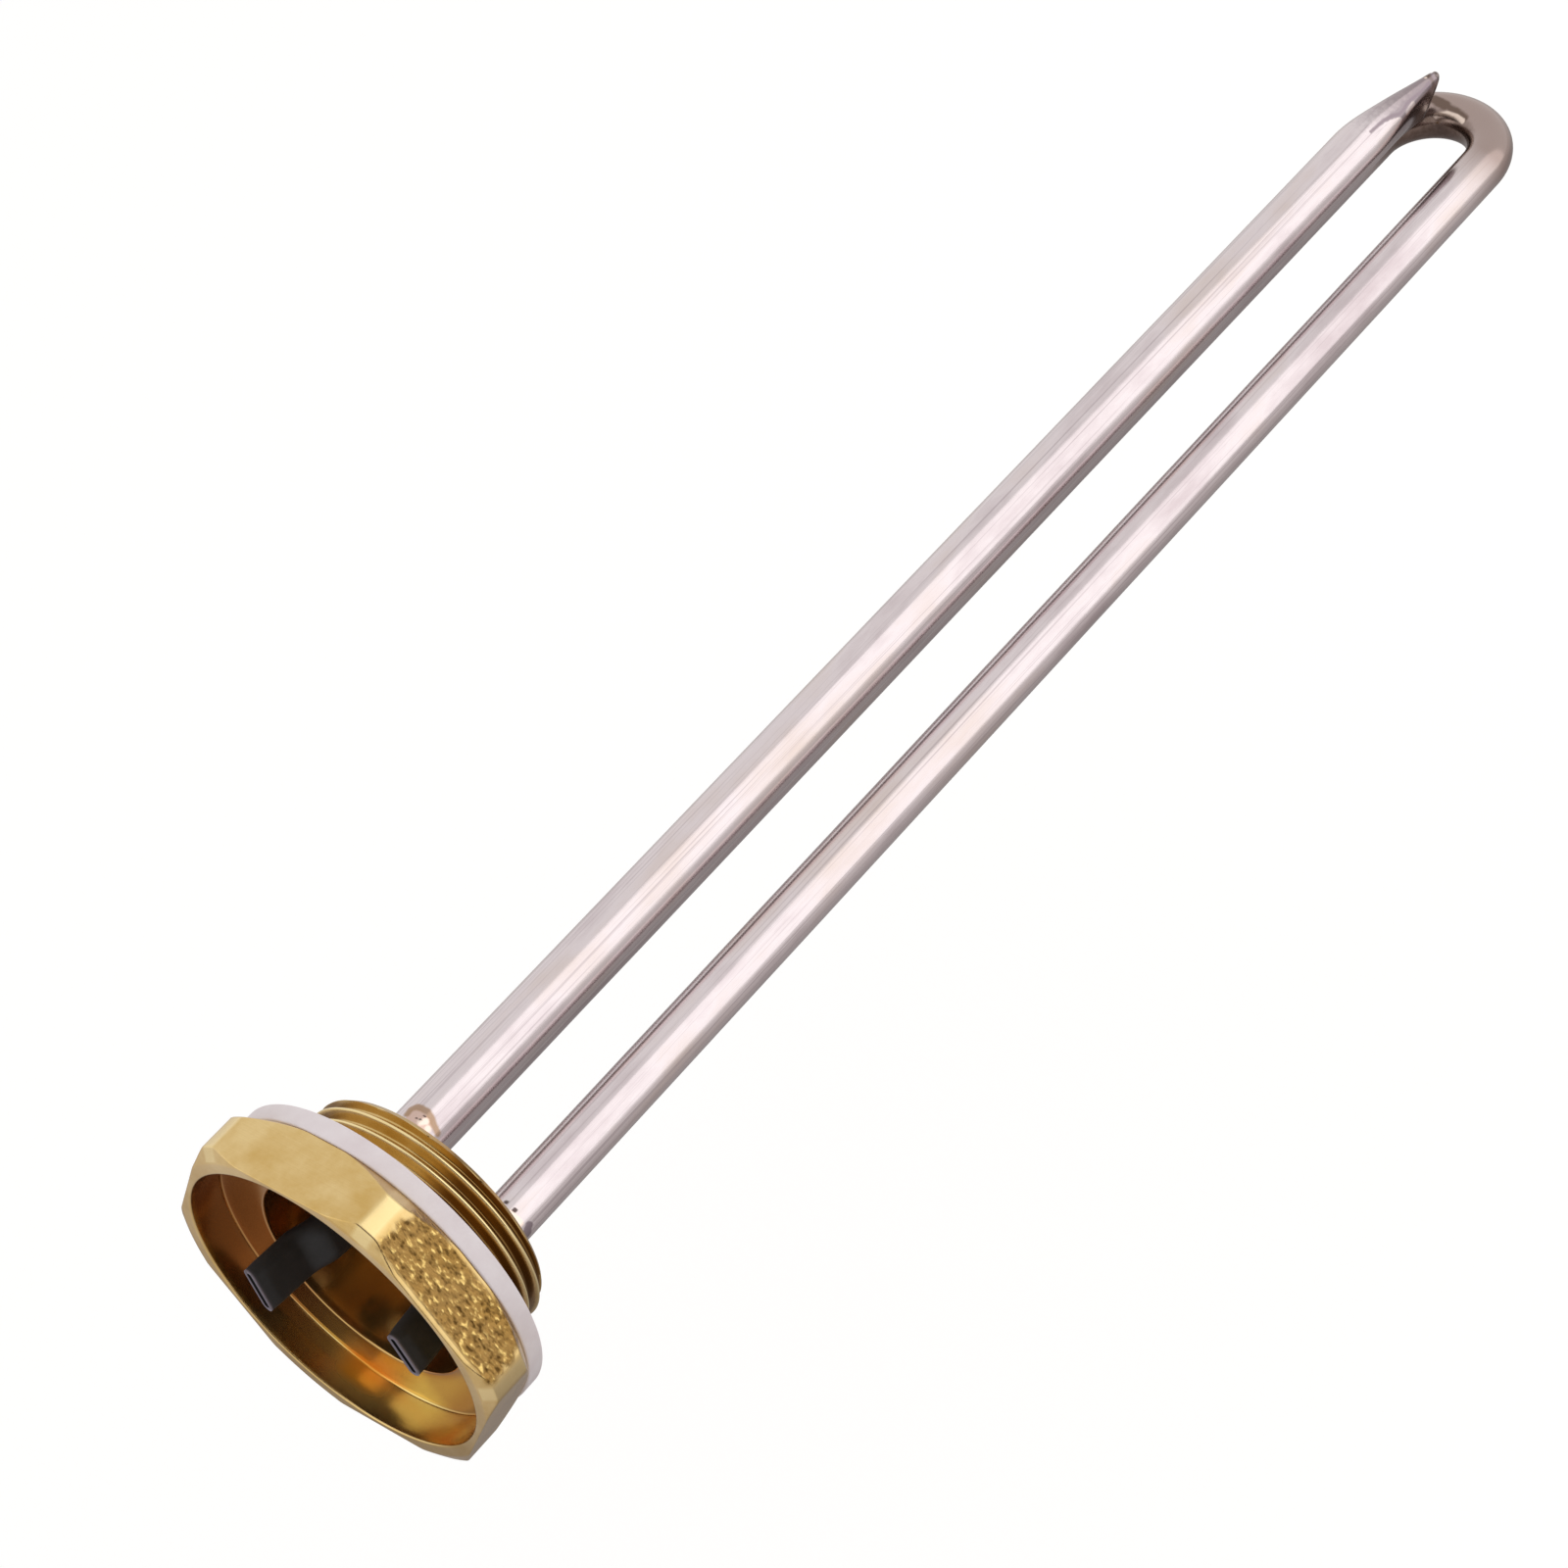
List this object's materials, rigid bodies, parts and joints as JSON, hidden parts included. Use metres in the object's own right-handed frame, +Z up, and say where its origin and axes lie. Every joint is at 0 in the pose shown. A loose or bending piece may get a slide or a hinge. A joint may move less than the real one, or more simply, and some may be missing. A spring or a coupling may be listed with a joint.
{
  "type": "screw plug immersion heater",
  "caption": "Hexagon-head brass screw plug that carries a hairpin heating element and a thermowell, with a gasket and sleeved push-on terminals in an open cup.",
  "frame": {"origin": "on the plug's axis, in the face of the gasket that seals against the tank", "axes": "+Y along the plug from the terminal cup to the tip of the element, +Z up, square to the plane of the hairpin and to one flat of the hexagon, +X to the right"},
  "size_m": [0.0608, 0.3026, 0.0552],
  "materials": {
    "brass": "turned and as-forged brass",
    "gasket": "pale moulded ring",
    "stainless": "annealed stainless tube, satin",
    "weld": "heat-tinted weld bead",
    "braze": "braze metal with flux stain",
    "powder": "pressed magnesia powder",
    "coil": "resistance wire",
    "pin": "nickel-plated steel",
    "ceramic": "white steatite",
    "seal": "silicone seal",
    "tab": "plated terminal blade",
    "sleeve": "soft black insulating sleeve"
  },
  "bodies": {
    "root": {"plug_body": "brass", "sealing_gasket": "gasket", "element_sheath": "stainless", "magnesia_fill": "powder", "resistance_coil": "coil", "thermowell_tube": "stainless", "thermowell_tip_weld": "weld", "braze_fillet_thermowell": "braze", "braze_fillet_leg_1": "braze", "braze_fillet_leg_2": "braze", "cold_pin_1": "pin", "cold_pin_2": "pin", "terminal_tab_1": "tab", "terminal_tab_2": "tab", "terminal_sleeve_1": "sleeve", "terminal_sleeve_2": "sleeve", "ceramic_bushing_1": "ceramic", "ceramic_bushing_2": "ceramic", "end_seal_1": "seal", "end_seal_2": "seal"}
  },
  "joints": []
}
